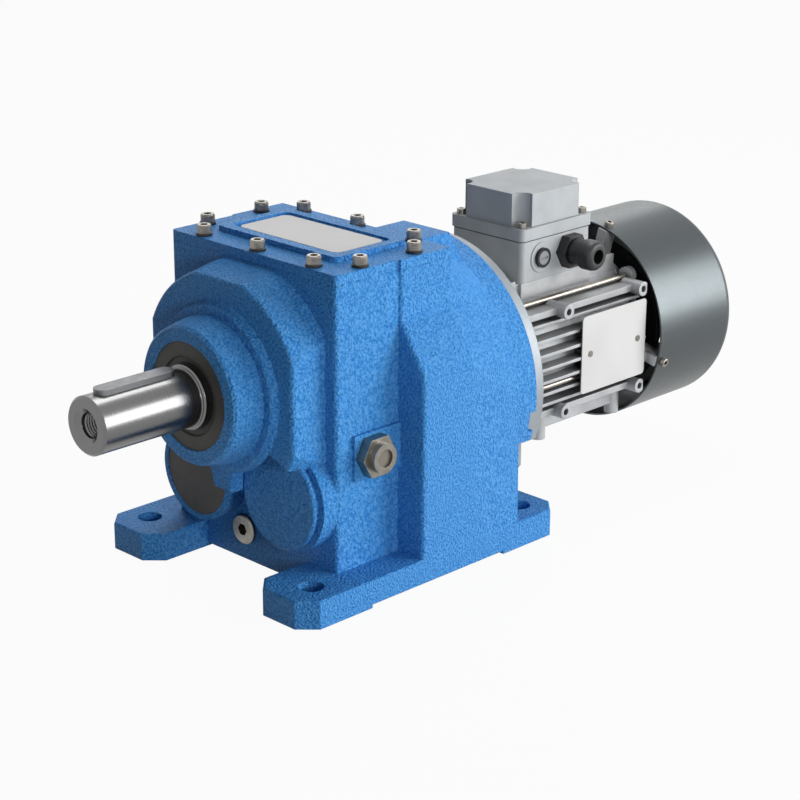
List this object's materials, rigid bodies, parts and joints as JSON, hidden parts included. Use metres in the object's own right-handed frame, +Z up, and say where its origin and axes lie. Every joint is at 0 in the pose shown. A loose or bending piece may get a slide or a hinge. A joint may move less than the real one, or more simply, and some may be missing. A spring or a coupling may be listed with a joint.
{
  "type": "inline helical gearmotor",
  "caption": "Foot-mounted inline helical gear reducer with a solid keyed output shaft and a flanged, fan-cooled motor.",
  "frame": {"origin": "centre of the four foot holes, on the mounting plane", "axes": "+X out through the output shaft, +Z up from the mounting plane, +Y to the side with the oil sight plug"},
  "size_m": [0.5795, 0.214, 0.2356],
  "materials": {
    "bare_plate": "satin",
    "bearing_steel": "polished",
    "black_plastic": "matte",
    "blue_paint": "semi-gloss",
    "board_plastic": "matte",
    "box_grey": "semi-gloss",
    "cap_dark": "satin",
    "cast_aluminium": "satin",
    "copper": "satin",
    "cowl_paint": "semi-gloss",
    "dark_washer": "matte",
    "gear_steel": "ground",
    "ground_steel": "ground",
    "lamination": "satin",
    "plug_steel": "satin",
    "seal_rubber": "matte",
    "sight_glass": "clear",
    "stainless": "satin"
  },
  "bodies": {
    "gearcase": {"housing": "blue_paint", "top_cover": "blue_paint", "cover_gasket": "blue_paint", "cover_plate": "bare_plate", "cover_screws": "stainless", "cover_washers": "dark_washer", "left_closing_cap": "cap_dark", "right_closing_cap": "blue_paint", "drain_plug": "plug_steel", "oil_sight_plug": "plug_steel", "oil_sight_glass": "sight_glass", "output_seal": "seal_rubber", "motor_flange": "cast_aluminium", "flange_bolts": "plug_steel", "motor_frame": "cast_aluminium", "stator_core": "lamination", "stator_windings": "copper", "rear_end_shield": "cast_aluminium", "tie_rods": "plug_steel", "fan_cowl": "cowl_paint", "cowl_screws": "plug_steel", "motor_shaft_seal": "seal_rubber", "terminal_box": "box_grey", "terminal_box_gasket": "seal_rubber", "terminal_box_lid": "box_grey", "lid_screws": "plug_steel", "terminal_board": "board_plastic", "cable_gland": "black_plastic", "cable_gland_nut": "black_plastic", "blanking_plug": "black_plastic", "nameplate": "bare_plate", "nameplate_rivets": "plug_steel", "output_outer_rings": "bearing_steel", "countershaft_1_outer_rings": "bearing_steel", "countershaft_2_outer_rings": "bearing_steel", "motor_outer_rings": "bearing_steel"},
    "output_train": {"output_shaft": "ground_steel", "output_key": "gear_steel", "output_gear": "gear_steel", "output_gear_key": "gear_steel", "output_sleeve": "gear_steel", "output_inner_rings": "bearing_steel"},
    "countershaft_2_train": {"countershaft_2": "gear_steel", "countershaft_2_wheel": "gear_steel", "countershaft_2_inner_rings": "bearing_steel"},
    "countershaft_1_train": {"countershaft_1": "gear_steel", "countershaft_1_wheel": "gear_steel", "countershaft_1_inner_rings": "bearing_steel"},
    "motor_rotor": {"motor_shaft": "ground_steel", "rotor_core": "lamination", "input_pinion": "gear_steel", "cooling_fan": "black_plastic", "motor_inner_rings": "bearing_steel"}
  },
  "joints": [
    {"name": "output_spin", "type": "hinge", "parent": "gearcase", "child": "output_train", "pos_m": [0, 0, 0.14], "axis": [1, 0, 0], "continuous": true},
    {"name": "countershaft_2_spin", "type": "hinge", "parent": "gearcase", "child": "countershaft_2_train", "pos_m": [0, 0.044, 0.068], "axis": [1, 0, 0], "continuous": true},
    {"name": "countershaft_1_spin", "type": "hinge", "parent": "gearcase", "child": "countershaft_1_train", "pos_m": [0, -0.044, 0.063], "axis": [1, 0, 0], "continuous": true},
    {"name": "motor_spin", "type": "hinge", "parent": "gearcase", "child": "motor_rotor", "pos_m": [0, 0, 0.108], "axis": [1, 0, 0], "continuous": true}
  ],
  "couplings": [
    {"joint": "countershaft_2_spin", "follows": "output_spin", "ratio": -3.6429},
    {"joint": "countershaft_1_spin", "follows": "output_spin", "ratio": 5.25},
    {"joint": "motor_spin", "follows": "output_spin", "ratio": -22.4}
  ]
}
